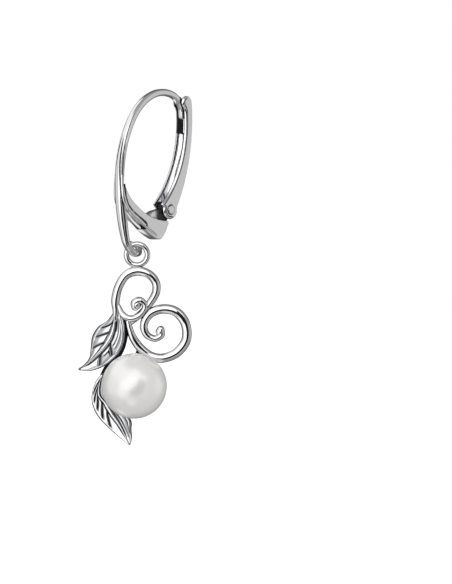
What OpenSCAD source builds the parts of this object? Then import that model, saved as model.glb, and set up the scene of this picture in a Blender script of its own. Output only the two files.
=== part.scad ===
/* [Ear wire] */
// Width of the ear wire from side to side over the arch
wire_w = 0.74; // [0.6:0.02:0.9]
// Thickness of the ear wire over the arch
wire_t = 0.76; // [0.6:0.02:0.9]
// Width of the rear tip that rests in the fork of the lever
tip_w = 0.64; // [0.5:0.02:0.68]
// Diameter of the round wire of the bottom loop
loop_wire_d = 0.8; // [0.7:0.02:0.9]

/* [Wedge and hinge] */
// Width of the wedge under the lever, and of the lever itself
wedge_w = 1.48; // [1.3:0.05:1.7]
// Width of the flat web of the wedge between its raised ribs
wedge_web_w = 1.2; // [1:0.05:1.25]
// Hinge axis behind the origin
hinge_y = 0.45; // [0.35:0.05:0.55]
// Hinge axis below the origin
hinge_drop = 12.05; // [11.9:0.05:12.2]
// Outer radius of the round eyes of the lever
eye_r = 1; // [0.9:0.02:1.05]
// Diameter of the rivet shank
rivet_d = 0.6; // [0.5:0.05:0.7]
// Diameter of the rivet heads
rivet_head_d = 0.94; // [0.85:0.02:1.1]
// Height of each rivet head
rivet_head_h = 0.12; // [0.08:0.02:0.2]

/* [Lever] */
// Thickness of each cheek of the lever
cheek_t = 0.27; // [0.22:0.01:0.3]
// Thickness of the web along the back of the lever
web_t = 0.34; // [0.25:0.01:0.5]
// Radius of the long curve of the back of the lever
lever_back_r = 19.2; // [17:0.2:21]
// Radius of the long curve of the front edges of the lever
lever_front_r = 12.2; // [11.8:0.1:12.6]
// Lower end of the fork slot below the origin
fork_drop = 3.8; // [3.3:0.1:4.5]

/* [Drop] */
// Turn of the drop about the vertical, from square to the hook
drop_twist = 40; // [30:1:45]
// Lean of the drop that puts its weight under the hanging ring
drop_lean = 3.8; // [0:0.1:6]
// Wire diameter of the hanging ring
ring_wire_d = 0.58; // [0.5:0.02:0.62]
// Mean radius of the hanging ring
ring_r = 1.11; // [1:0.01:1.2]
// Wire width of the upper scroll
upper_wire_d = 0.86; // [0.7:0.02:1]
// Wire width of the large lower scroll
lower_wire_d = 0.98; // [0.8:0.02:1.1]

/* [Pearl] */
// Diameter of the pearl
pearl_d = 6.9; // [6.5:0.1:7.2]
// Distance of the middle of the pearl in front of the casting
pearl_front = 2.1; // [2:0.05:2.5]
// Diameter of the peg inside the pearl
peg_d = 0.8; // [0.7:0.05:1]
// Depth of the hole drilled in the pearl
peg_depth = 2.2; // [1.5:0.1:3]

/* [Hidden] */
$fn = 48;
silver = [0.80, 0.80, 0.81];
side_x = [1, 0, 0];
running_gap = 0.03;
side_gap = 0.06;
knuckle_gap = 0.1;
over = 0.5;

// Ear wire from its rear tip over the arch and down the front to the bottom loop.
// Columns: across, front to back, height, width, thickness, squareness of the section
hook_rows = [
    [0, 3.12, -2.1, tip_w, 0.66, 3],
    [0, 3.0, -1.25, tip_w, 0.66, 3],
    [0, 2.55, -0.52, wire_w, 0.68, 3],
    [0, 1.6, 0.15, wire_w, 0.7, 3],
    [0, 0.1, 0.41, wire_w, wire_t, 3],
    [0, -1.5, 0.18, wire_w, wire_t, 3],
    [0, -3.15, -0.62, wire_w, 0.78, 3],
    [0, -4.68, -2.05, 0.76, 0.8, 3],
    [0, -5.86, -3.98, 0.84, 0.82, 2.8],
    [0, -6.62, -6.05, 0.92, 0.84, 2.6],
    [0, -6.98, -8.3, 0.96, 0.86, 2.5],
    [0, -6.98, -10.6, 0.96, 0.86, 2.4],
    [0, -6.6, -12.9, 0.96, 1, 2.6],
    [0.02, -6.2, -14.8, 0.88, 0.88, 2.4],
    [0.15, -5.88, -15.9, loop_wire_d, loop_wire_d, 2],
    [0.25, -5.18, -16.58, loop_wire_d, loop_wire_d, 2],
    [0.12, -4.2, -16.63, loop_wire_d, loop_wire_d, 2],
    [-0.08, -3.8, -16.27, 0.68, 0.66, 2]];

// Upper half of the loop, behind the hanging ring and back into the stem. Columns as above
loop_rows = [
    [0.02, -4.0, -16.52, 0.56, 0.56, 2],
    [-0.12, -3.78, -16.22, 0.6, 0.6, 2],
    [-0.35, -3.88, -15.9, 0.6, 0.58, 2],
    [-0.68, -4.3, -15.7, 0.54, 0.52, 2],
    [-0.91, -4.75, -15.52, 0.5, 0.5, 2],
    [-0.75, -5.33, -15.35, 0.5, 0.5, 2],
    [-0.25, -5.8, -15.1, 0.5, 0.5, 2]];

// Side rib that leaves the stem and ends on the side of the wedge.
// Columns as in the ear wire
rib_rows = [
    [0.26, -5.82, -4.3, 0.22, 0.26, 2],
    [0.36, -6.56, -6.3, 0.34, 0.4, 2],
    [0.42, -6.9, -8.6, 0.42, 0.46, 2],
    [0.46, -6.76, -10.3, 0.46, 0.5, 2],
    [0.5, -6.3, -11.6, 0.48, 0.54, 2],
    [0.52, -5.45, -12.5, 0.5, 0.58, 2],
    [0.54, -4.5, -13.12, 0.48, 0.6, 2],
    [0.54, -3.65, -13.62, 0.42, 0.54, 2]];

// Raised rim along the lower edge of the wedge. Columns as in the ear wire
rim_rows = [
    [0, -6.5, -11.5, wedge_w - 0.4, 0.4, 2.6],
    [0, -5.35, -12.55, wedge_w - 0.1, 0.42, 2.6],
    [0, -4.15, -13.55, wedge_w + 0.02, 0.42, 2.6],
    [0, -2.95, -14.28, wedge_w + 0.02, 0.4, 2.6],
    [0, -1.75, -14.8, wedge_w, 0.3, 2.6]];

// Side outline of the wedge. Columns: front to back, height
wedge_top_rows = [[-6.8, -9.4], [-6.35, -10.15], [-5.75, -10.9], [-4.8, -11.65], [-3.6, -12.38],
    [-2.4, -12.83], [-1.1, -13.13], [0.2, -13.25]];
wedge_low_rows = [[0.33, -13.45], [-0.22, -14.45], [-0.9, -15.13], [-1.6, -15.16], [-2.6, -14.74],
    [-3.45, -14.25], [-4.3, -13.62], [-5.1, -12.95], [-6.0, -12.1], [-6.8, -11.0]];

// Nose of the hinge tongue in front of the lever. Columns: front to back, height
tongue_rows = [[0.5, -12.9], [-0.2, -13.7], [-2.6, -13.6], [-3.3, -12.7], [-2.6, -12.5], [-1.75, -12.16],
    [-1, -12.02], [0.3, -11.8]];

// Centre lines of the scrolls in the plane of the drop, from the top of the hanging ring.
// Columns: right, up, towards the front, width, depth
upper_rows = [
    [-2.3, -8.0, 0, 0.5, 0.7],
    [-2.22, -7.0, 0, 0.7, 0.9],
    [-2.27, -5.9, 0, upper_wire_d, 1],
    [-1.93, -4.5, 0, upper_wire_d, 1],
    [-1.15, -3.3, 0, upper_wire_d, 1],
    [0.0, -2.84, 0, upper_wire_d + 0.1, 1],
    [1.2, -3.15, 0, upper_wire_d, 1],
    [1.96, -4.0, 0, upper_wire_d - 0.02, 1],
    [2.0, -5.1, 0, upper_wire_d - 0.04, 1],
    [1.4, -6.2, -0.05, 0.76, 0.96],
    [0.5, -7.3, -0.1, 0.74, 0.94],
    [-0.6, -8.15, -0.1, 0.74, 0.94]];
curl_rows = [
    [-1.95, -6.55, 0.05, 0.42, 0.7],
    [-1.55, -7.4, 0.12, 0.64, 0.8],
    [-0.8, -7.88, 0.15, 0.7, 0.86],
    [0.1, -7.65, 0.15, 0.66, 0.86],
    [0.72, -7.0, 0.15, 0.6, 0.86],
    [0.8, -6.35, 0.15, 0.62, 0.86],
    [0.3, -5.95, 0.15, 0.72, 0.9],
    [-0.22, -6.2, 0.15, 0.8, 0.94],
    [-0.2, -6.65, 0.15, 0.74, 0.9]];
lower_rows = [
    [-0.95, -8.1, 0, 0.6, 0.9],
    [-0.78, -8.9, 0, 0.66, 0.92],
    [-0.4, -9.95, 0, 0.8, 0.94],
    [0.4, -11.05, 0, 0.9, 0.96],
    [1.45, -11.85, 0, lower_wire_d - 0.06, 0.98],
    [2.75, -12.07, 0, lower_wire_d - 0.04, 1],
    [4.25, -11.45, 0, lower_wire_d, 1],
    [5.2, -10.1, 0, lower_wire_d, 1],
    [5.1, -8.4, 0, lower_wire_d, 1],
    [4.15, -7.2, 0, lower_wire_d, 1],
    [2.75, -6.87, 0, lower_wire_d - 0.02, 1],
    [1.4, -7.35, 0, lower_wire_d - 0.06, 1],
    [0.72, -8.5, 0, 0.82, 0.96],
    [1.0, -9.55, 0, 0.74, 0.92],
    [1.85, -10.0, 0, 0.68, 0.9],
    [2.55, -9.65, 0, 0.7, 0.9],
    [2.5, -9.05, 0, 0.8, 0.94]];

// Stem that carries both leaves behind the pearl. Columns as in the scrolls
stem_rows = [
    [-1.1, -8.2, -0.1, 0.9, 0.8],
    [-1.5, -9.6, -0.15, 0.9, 0.8],
    [-1.95, -11.2, -0.3, 0.9, 0.76],
    [-2.75, -12.6, -0.45, 0.7, 0.7],
    [-3.5, -13.6, -0.5, 0.56, 0.64],
    [-3.85, -14.6, -0.5, 0.5, 0.6],
    [-3.8, -15.8, -0.5, 0.46, 0.5]];

// Arms behind the pearl, from the leaf stem and from the large scroll to the cup
side_arm_rows = [
    [-3.75, -14.95, -0.55, 0.6, 0.6],
    [-3.2, -14.92, -0.72, 0.6, 0.6],
    [-2.5, -14.88, -1.1, 0.64, 0.6],
    [-1.7, -14.85, -1.42, 0.7, 0.6]];
top_arm_rows = [
    [0.35, -10.95, -0.05, 0.6, 0.6],
    [0.15, -11.6, -0.4, 0.62, 0.6],
    [-0.1, -12.3, -0.95, 0.64, 0.6],
    [-0.2, -13.2, -1.42, 0.7, 0.6]];

// Leaves in the plane of the drop. Each row goes from the stem to the tip.
// Columns: right and up of the left edge, of the midrib and of the right edge
upper_leaf_rows = [
    [-2.55, -7.3, -2.42, -6.9, -1.95, -6.8],
    [-3.2, -8.15, -2.38, -8.0, -1.35, -8.2],
    [-4.15, -8.8, -2.55, -9.2, -1.25, -9.7],
    [-4.75, -9.8, -3.0, -10.2, -1.6, -11.1],
    [-4.9, -10.9, -3.75, -11.15, -2.4, -12.1],
    [-5.05, -12.0, -4.75, -12.15, -3.55, -12.95],
    [-5.6, -12.75, -5.5, -12.8, -4.9, -13.4],
    [-6.25, -13.2, -6.22, -13.22, -6.1, -13.35]];
lower_leaf_rows = [
    [-3.62, -13.6, -3.55, -13.65, -3.4, -13.6],
    [-4.4, -14.6, -4.0, -14.8, -3.25, -14.4],
    [-4.82, -16.1, -4.05, -16.0, -3.05, -15.9],
    [-4.65, -17.3, -3.4, -16.8, -2.35, -17.2],
    [-4.05, -18.4, -2.75, -17.9, -0.72, -18.6],
    [-3.1, -19.4, -1.95, -19.0, -0.6, -19.7],
    [-1.95, -20.4, -1.3, -20.2, -0.55, -20.6],
    [-0.95, -21.25, -0.85, -21.25, -0.7, -21.25]];

leaf_t = 0.5;
leaf_camber = 0.3;
vein_h = 0.13;
vein_count = 5;
across = 8;

// Places of the drop
hang_x = 0.28;
hang_y = -4.52;
hang_z = -15.73;
pearl_u = -0.27;
pearl_v = -14.85;
cup_r = 1.9;
cup_t = 0.85;
cup_gap = 0.04;
cup_back = -1.75;

// A point on the smooth curve through four rows, at t between the middle two
function bend(a, b, c, d, t) = 0.5 * (2 * b + (c - a) * t + (2 * a - 5 * b + 4 * c - d) * t * t
    + (3 * b - a - 3 * c + d) * t * t * t);

// Row i of a table, carried on in a straight line past either end
function row(tab, i) = i < 0 ? 2 * tab[0] - tab[1]
    : i >= len(tab) ? 2 * tab[len(tab) - 1] - tab[len(tab) - 2] : tab[i];

// The table with every span cut into n steps along the smooth curve
function smooth(tab, n) = [
    for (i = [0 : len(tab) - 2]) for (k = [0 : n - 1])
        bend(row(tab, i - 1), tab[i], tab[i + 1], row(tab, i + 2), k / n),
    tab[len(tab) - 1]];

function unit(v) = v / norm(v);
function spot(r) = [r[0], r[1], r[2]];
function heading(path, i) = unit(spot(path[min(i + 1, len(path) - 1)]) - spot(path[max(i - 1, 0)]));
function rounded_power(v, e) = sign(v) * pow(abs(v), e);

// One closed section of a wire: centre c, direction t, width w along side, thickness h
function section(c, t, side, w, h, sq, n) =
    let (s = unit(side - (side * t) * t), m = cross(t, s))
    [for (k = [0 : n - 1]) let (a = 360 * (k + 0.5) / n)
        c + s * (w / 2 * rounded_power(cos(a), 2 / sq)) + m * (h / 2 * rounded_power(sin(a), 2 / sq))];

// Steps of a rounded end: share of the section, share of the length past the end
end_steps = [[0.45, 0.9], [0.78, 0.63], [0.94, 0.34]];

// A wire with rounded ends along rows of x, y, z, width, thickness and squareness
module wire(rows, side, n = 12) {
    last = len(rows) - 1;
    t0 = heading(rows, 0);
    t1 = heading(rows, last);
    r0 = min(rows[0][3], rows[0][4]) / 2;
    r1 = min(rows[last][3], rows[last][4]) / 2;
    rings = [
        for (e = end_steps)
            section(spot(rows[0]) - t0 * r0 * e[1], t0, side, rows[0][3] * e[0], rows[0][4] * e[0],
                rows[0][5], n),
        for (i = [0 : last])
            section(spot(rows[i]), heading(rows, i), side, rows[i][3], rows[i][4], rows[i][5], n),
        for (k = [len(end_steps) - 1 : -1 : 0]) let (e = end_steps[k])
            section(spot(rows[last]) + t1 * r1 * e[1], t1, side, rows[last][3] * e[0],
                rows[last][4] * e[0], rows[last][5], n)];
    skin(rings, n);
}

// Joins closed rings of n points into one solid
module skin(rings, n) {
    count = len(rings);
    polyhedron(
        points = [for (r = rings) for (p = r) p],
        faces = [
            [for (k = [0 : n - 1]) k],
            for (i = [0 : count - 2]) for (k = [0 : n - 1]) let (j = (k + 1) % n)
                [i * n + k, (i + 1) * n + k, (i + 1) * n + j],
            for (i = [0 : count - 2]) for (k = [0 : n - 1]) let (j = (k + 1) % n)
                [i * n + k, (i + 1) * n + j, i * n + j],
            [for (k = [n - 1 : -1 : 0]) (count - 1) * n + k]],
        convexity = 8);
}

// Rows of the drop: right, up and front become x, z and -y
function flat_row(r) = [r[0], -r[2], r[1], r[4], r[3], 2.3];
module drop_wire(rows, steps) {
    wire([for (r = smooth(rows, steps)) flat_row(r)], [0, 1, 0], 12);
}

// Height of the veins at q along the leaf and s out from the midrib
function vein(q, s) = vein_h * (abs(sin(180 * (vein_count * (q - 0.22 * abs(s)) + 0.35))) - 0.35);

// Front height of the leaf: midrib, camber, veins, thin rim
function leaf_front(q, s) = let (a = abs(s), rib = 0.2 * exp(-40 * s * s))
    rib + leaf_camber * (a - a * a) + vein(q, s) * (a > 0.95 ? 0 : sin(180 * pow(a, 0.6)))
    * sin(180 * pow(q, 0.8)) - 0.12 * pow(a, 6);

// Left edge, midrib or right edge of a leaf row, as a point of the drop plane
function leaf_spot(r, s) = let (m = [r[2], r[3]], e = s < 0 ? [r[0], r[1]] : [r[4], r[5]])
    m + (e - m) * abs(s);

// A leaf: a lobed front over a plain back, fused along its rim
module leaf(rows, back, front) {
    fine = smooth(rows, 5);
    last = len(fine) - 1;
    front_s = [for (k = [0 : across]) -1 + 2 * k / across];
    back_s = [for (k = [across - 1 : -2 : 1]) -1 + 2 * k / across];
    rings = [for (i = [0 : last]) let (q = i / last, thick = leaf_t * (0.35 + 0.65 * sin(180 * pow(q, 0.7))))
        concat(
            [for (s = front_s) let (p = leaf_spot(fine[i], s)) [p[0], -(front + leaf_front(q, s)), p[1]]],
            [for (s = back_s) let (p = leaf_spot(fine[i], s))
                [p[0], -(back + front + 0.6 * leaf_front(q, s) - thick), p[1]]])];
    skin([for (i = [last : -1 : 0]) rings[i]], len(front_s) + len(back_s));
}

// Puts the drop in its place under the bottom loop
module hang() {
    translate([hang_x, hang_y, hang_z]) rotate([0, 0, drop_twist]) rotate([drop_lean, 0, 0]) children();
}

// A round bar across the hook, from side to side
module cross_bar(d, length) {
    translate([-length / 2, hinge_y, -hinge_drop]) rotate([0, 90, 0]) cylinder(d = d, h = length);
}

// A flat outline in the plane of the hook, given thickness from side to side
module plate(width) {
    translate([-width / 2, 0, 0]) rotate([90, 0, 90]) linear_extrude(width) children();
}

module wedge_outline() {
    polygon(concat(smooth(wedge_top_rows, 3), smooth(wedge_low_rows, 3)));
}

tongue_w = wedge_w - 2 * cheek_t - 2 * side_gap;
tongue_r = eye_r - 0.1;

module ear_hook() {
    color(silver) difference() {
        union() {
            wire(smooth(hook_rows, 5), side_x, 14);
            wire(smooth(loop_rows, 4), side_x, 10);
            for (k = [-1, 1]) wire(smooth([for (r = rib_rows) [k * r[0], r[1], r[2], r[3], r[4], r[5]]], 4),
                side_x, 10);
            wire(smooth(rim_rows, 4), side_x, 10);
            difference() {
                plate(wedge_web_w) wedge_outline();
                cross_bar(2 * (eye_r + knuckle_gap), wedge_w);
            }
            plate(tongue_w) {
                translate([hinge_y, -hinge_drop]) circle(tongue_r);
                polygon(tongue_rows);
            }
        }
        cross_bar(rivet_d + 2 * running_gap, wedge_w + 1);
    }
}

module hinge_rivet() {
    color(silver) {
        cross_bar(rivet_d, wedge_w + 2 * running_gap + 0.02);
        for (k = [-1, 1]) translate([k * (wedge_w / 2 + running_gap + rivet_head_h / 2), 0, 0])
            cross_bar(rivet_head_d, rivet_head_h);
    }
}

// Centres of the two long curves of the lever, as front to back and height
back_c = [3.97 - lever_back_r, -2.3];
front_c = [2.95 - lever_front_r, -2.6];
lever_top_c = [3.16, -0.6];
lever_top_r = 0.7;
web_foot = 11.72;
// Reach of the lever along its two curves. Columns: front to back, height
lever_reach = [[-1.6, -0.55], [4.4, -0.55], [4.4, -11.85], [-0.5, -11.85], [-0.85, -11.5], [-1.6, -10.9]];

// Side outline of the lever, made smaller at the back by inset
module lever_outline(inset) {
    difference() {
        intersection() {
            translate(back_c) circle(lever_back_r - inset, $fn = 240);
            polygon(lever_reach);
        }
        translate(front_c) circle(lever_front_r, $fn = 180);
    }
}

module clasp_lever() {
    color(silver) difference() {
        plate(wedge_w) {
            lever_outline(0);
            translate(lever_top_c) circle(lever_top_r);
            translate([hinge_y, -hinge_drop]) circle(eye_r);
        }
        plate(tongue_w + 2 * side_gap) {
            difference() {
                translate([-3, -14]) square([8, 14.5]);
                intersection() {
                    translate(back_c) circle(lever_back_r + over, $fn = 240);
                    difference() {
                        translate([-3, -web_foot]) square([8, web_foot - fork_drop]);
                        translate(back_c) circle(lever_back_r - web_t, $fn = 240);
                        translate([hinge_y, -hinge_drop]) circle(tongue_r + knuckle_gap);
                    }
                }
            }
        }
        cross_bar(rivet_d + 2 * running_gap, wedge_w + 1);
    }
}

module drop_frame() {
    color(silver) hang() {
        translate([0, 0, -ring_r]) rotate([90, 0, 0])
            rotate_extrude() translate([ring_r, 0]) circle(d = ring_wire_d, $fn = 16);
        drop_wire(upper_rows, 4);
        drop_wire(curl_rows, 4);
        drop_wire(lower_rows, 4);
        drop_wire(stem_rows, 3);
        drop_wire(side_arm_rows, 3);
        drop_wire(top_arm_rows, 3);
        leaf(upper_leaf_rows, 0, 0.1);
        leaf(lower_leaf_rows, 0, -0.35);
        difference() {
            translate([pearl_u, -cup_back, pearl_v]) rotate([90, 0, 0]) cylinder(r = cup_r, h = cup_t);
            translate([pearl_u, -pearl_front, pearl_v]) sphere(d = pearl_d + 2 * cup_gap, $fn = 64);
        }
        translate([pearl_u, -cup_back, pearl_v]) rotate([90, 0, 0])
            cylinder(d = peg_d, h = pearl_front - pearl_d / 2 - cup_back + peg_depth - 0.15);
    }
}

module pearl() {
    color([0.93, 0.92, 0.90]) hang() difference() {
        translate([pearl_u, -pearl_front, pearl_v]) sphere(d = pearl_d, $fn = 96);
        translate([pearl_u, -(pearl_front - pearl_d / 2 - 1), pearl_v]) rotate([90, 0, 0])
            cylinder(d = peg_d + 2 * cup_gap, h = peg_depth + 1);
    }
}

ear_hook();
hinge_rivet();
clasp_lever();
drop_frame();
pearl();
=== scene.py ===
"""The looks of a pearl drop earring with a leverback hook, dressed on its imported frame."""

from __future__ import annotations

import logging
import math
from dataclasses import dataclass
from enum import Enum
from typing import Callable, Optional, Sequence

import bmesh
import bpy
from bpy.types import Material, Node, NodeSocket, NodeTree, Object
from mathutils import Matrix, Vector
from mathutils.bvhtree import BVHTree

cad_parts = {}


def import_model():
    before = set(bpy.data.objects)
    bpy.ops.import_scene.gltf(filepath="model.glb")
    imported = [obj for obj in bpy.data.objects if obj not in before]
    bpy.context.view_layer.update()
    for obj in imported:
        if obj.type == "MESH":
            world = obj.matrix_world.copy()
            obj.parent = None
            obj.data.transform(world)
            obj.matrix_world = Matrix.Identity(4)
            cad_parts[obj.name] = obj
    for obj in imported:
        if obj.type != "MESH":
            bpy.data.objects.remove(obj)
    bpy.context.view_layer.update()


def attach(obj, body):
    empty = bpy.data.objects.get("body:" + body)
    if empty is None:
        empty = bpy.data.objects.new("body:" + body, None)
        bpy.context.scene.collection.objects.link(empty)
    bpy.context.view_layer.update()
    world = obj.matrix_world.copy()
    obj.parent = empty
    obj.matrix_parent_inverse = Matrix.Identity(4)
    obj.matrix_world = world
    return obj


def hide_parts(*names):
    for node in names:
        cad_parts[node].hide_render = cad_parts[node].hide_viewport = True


log = logging.getLogger("earring")

MM = 0.001
FULL_TURN = 2 * math.pi
# Name of the attribute that holds each piece's oxide and its painted shade.
TARNISH_AND_SHADE = "tarnish_and_shade"
Row = Sequence[float]
Point2 = tuple[float, float]
Point3 = tuple[float, float, float]
Ring = list[bmesh.types.BMVert]

# The rivet's axis: front to back and height in mm, in the frame's directions.
HINGE: Point2 = (0.45, -12.05)
# A turned profile starts this far off its axis, in mm, and merges into a pole.
NEAR_AXIS = 0.001


class Slot(Enum):
    """The record's material slots."""

    POLISHED = "polished_silver"
    OXIDISED = "oxidised_silver"
    PEARL = "pearl"


class Body(Enum):
    """The moving bodies of the frame."""

    HOOK = "hook"
    LEVER = "lever"
    DROP = "drop"


# Curves and rises


def smooth_rows(rows: Sequence[Row], steps: int) -> list[list[float]]:
    """Runs a smooth curve through a table.

    Args:
        rows: the table, one row of numbers a point.
        steps: how many spans each gap between two rows is cut into.

    Returns:
        The finer table, with the last row kept.
    """
    first = [2 * a - b for a, b in zip(rows[0], rows[1])]
    last = [2 * a - b for a, b in zip(rows[-1], rows[-2])]
    full = [first, *[list(r) for r in rows], last]
    out: list[list[float]] = []
    for i in range(1, len(full) - 2):
        for k in range(steps):
            t = k / steps
            out.append([
                0.5 * (2 * b + (c - a) * t + (2 * a - 5 * b + 4 * c - d) * t * t
                       + (3 * b - a - 3 * c + d) * t ** 3)
                for a, b, c, d in zip(full[i - 1], full[i], full[i + 1], full[i + 2])
            ])
    out.append(list(full[-2]))
    return out


def power(v: float, e: float) -> float:
    """A signed power, for a section between a circle and a rounded square."""
    return math.copysign(abs(v) ** e, v)


def smoothstep(a: float, b: float, x: float) -> float:
    """A smooth rise from 0 at a to 1 at b."""
    t = min(1.0, max(0.0, (x - a) / (b - a)))
    return t * t * (3 - 2 * t)


def between(x: float, a: float, b: float, c: float, d: float) -> float:
    """A smooth rise from 0 at a to 1 at b, and a fall back to 0 from c to d."""
    return smoothstep(a, b, x) * (1 - smoothstep(c, d, x))


def bell(x: float, middle: float, width: float) -> float:
    """A smooth bump of height 1 round a middle, a third as high at its width."""
    return math.exp(-(((x - middle) / width) ** 2))


def arc(centre: Point2, radius: float, start: float, step: float, count: int) -> list[Point2]:
    """Points on a circle, with the first angle and the step in degrees."""
    turns = (math.radians(start + step * k) for k in range(count))
    return [(centre[0] + radius * math.cos(a), centre[1] + radius * math.sin(a)) for a in turns]


# Finishes


def feed(node: Node, inputs: dict[str | int, object]) -> None:
    """Sets inputs of a node, or links them to other nodes' outputs.

    Args:
        node: the node.
        inputs: a value or an output for each input's name or number.
    """
    for name, value in inputs.items():
        if isinstance(value, NodeSocket):
            node.id_data.links.new(value, node.inputs[name])
        else:
            node.inputs[name].default_value = value


def add_node(tree: NodeTree, kind: str, inputs: dict[str | int, object], **options: str) -> Node:
    """Adds a node.

    Args:
        tree: where it goes.
        kind: its type.
        inputs: as in feed.
        options: the node's own settings.

    Returns:
        The node.
    """
    node = tree.nodes.new(kind)
    for name, value in options.items():
        setattr(node, name, value)
    feed(node, inputs)
    return node


def new_material(name: str) -> tuple[Material, Node]:
    """Makes a material.

    Args:
        name: its name.

    Returns:
        The material and its shader node.
    """
    mat = bpy.data.materials.new(name)
    mat.use_nodes = True
    return mat, mat.node_tree.nodes["Principled BSDF"]


def noise(tree: NodeTree, size_mm: float, detail: float) -> NodeSocket:
    """Adds a noise pattern on Object coordinates.

    Args:
        tree: the material's nodes.
        size_mm: size of its patches.
        detail: how many finer patterns lie over it.

    Returns:
        The pattern, from 0 to 1.
    """
    coords = add_node(tree, "ShaderNodeTexCoord", {})
    pattern = {"Vector": coords.outputs["Object"], "Scale": 1 / (size_mm * MM), "Detail": detail}
    return add_node(tree, "ShaderNodeTexNoise", pattern).outputs["Fac"]


@dataclass(frozen=True)
class SilverFinish:
    """Cast silver, bright on its ridges and dark in its recesses, from an attribute that holds both oxide
    and painted shade.

    stops give the tarnish-and-shade value at which bright ends, satin begins and ends, and black begins.
    The roughness rises to dull between the first stop and dull_at.
    """

    name: str
    bright: Point3 = (0.9, 0.9, 0.91)
    satin: Point3 = (0.4, 0.405, 0.42)
    black: Point3 = (0.02, 0.021, 0.025)
    stops: Sequence[float] = (0.12, 0.42, 0.62, 0.92)
    roughness: float = 0.05
    dull: float = 0.33
    dull_at: float = 0.5
    grain_mm: float = 0.35
    patchy: float = 0.12

    def material(self) -> Material:
        """Builds the node material.

        Returns:
            A material that reads the tarnish-and-shade attribute, oxide and painted shade together, and
            Object coordinates.
        """
        mat, shader = new_material(self.name)
        tree = mat.node_tree
        half = self.patchy / 2
        # The attribute's darkness is partly oxide and partly painted shade.
        tarnish_and_shade = add_node(tree, "ShaderNodeAttribute", {}, attribute_name=TARNISH_AND_SHADE).outputs["Fac"]
        patch = add_node(tree, "ShaderNodeMath", {
            0: noise(tree, self.grain_mm, 4), 1: self.patchy, 2: tarnish_and_shade},
            operation="MULTIPLY_ADD").outputs[0]
        ramp = add_node(tree, "ShaderNodeValToRGB", {"Fac": patch})
        colours = (self.bright, self.satin, self.satin, self.black)
        while len(ramp.color_ramp.elements) < len(colours):
            ramp.color_ramp.elements.new(1.0)
        for stop, at, colour in zip(ramp.color_ramp.elements, self.stops, colours):
            stop.position = at + half
            stop.color = (*colour, 1)
        polish = add_node(tree, "ShaderNodeMapRange", {
            "Value": patch, "From Min": self.stops[0] + half, "From Max": self.dull_at + half,
            "To Min": self.roughness, "To Max": self.dull})
        feed(shader, {"Metallic": 1.0, "Base Color": ramp.outputs["Color"],
                      "Roughness": polish.outputs["Result"]})
        return mat


@dataclass(frozen=True)
class PearlFinish:
    """White pearl with a soft deep lustre."""

    name: str = "pearl_lustre"
    body: Point3 = (0.94, 0.925, 0.895)
    cool: Point3 = (0.96, 0.955, 0.945)
    cloud_mm: float = 3.0
    roughness: float = 0.4
    ior: float = 1.8
    coat_roughness: float = 0.28
    coat_ior: float = 3.2

    def material(self) -> Material:
        """Builds the node material.

        Returns:
            A material with a cloudy body colour under a clear soft coat.
        """
        mat, shader = new_material(self.name)
        colour = add_node(mat.node_tree, "ShaderNodeMix", {
            "Factor": noise(mat.node_tree, self.cloud_mm, 3), "A": (*self.body, 1),
            "B": (*self.cool, 1)}, data_type="RGBA")
        feed(shader, {"Base Color": colour.outputs["Result"], "Roughness": self.roughness,
                      "IOR": self.ior, "Coat Weight": 1.0, "Coat Roughness": self.coat_roughness,
                      "Coat IOR": self.coat_ior})
        return mat


# A piece under construction

# How deep a wire's grooves are, in mm, and the share of it between which painted shade darkens them.
GROOVE_DEPTH = 0.09
GROOVE_DARK = (0.1, 0.7)
# The groove along a deep lip, painted dark with shade: depth and width in mm, and the reach that has it in
# full.
LIP_DEPTH = 0.03
LIP_WIDTH = 0.2
LIP_FULL = 0.15
# Share of a plain slope in the rounding at a plate's x1; the rest of it is round.
LIP_SLOPE = 0.65


@dataclass(frozen=True)
class Groove:
    """A narrow groove along a wire, painted dark with shade.

    path gives its angle round the section, in degrees, at some heights in mm. width is half
    its angle, and fade_top and fade_foot are the lengths over which it fades at its ends.
    """

    path: Sequence[Point2]
    width: float
    fade_top: float = 2.5
    fade_foot: float = 0.4

    def share(self, z: float, angle: float) -> float:
        """How deep the groove is at a place of the wire.

        Args:
            z: the height.
            angle: the angle round the section.

        Returns:
            The depth, from 0 to 1.
        """
        top, foot = self.path[0][0], self.path[-1][0]
        for (z0, a0), (z1, a1) in zip(self.path, self.path[1:]):
            if z1 <= z <= z0:
                away = abs(angle - (a0 + (a1 - a0) * (z0 - z) / (z0 - z1)))
                fade = smoothstep(0, self.fade_top, top - z) * smoothstep(0, self.fade_foot, z - foot)
                return fade * max(0.0, 1 - (away / self.width) ** 2)
        return 0.0


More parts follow.
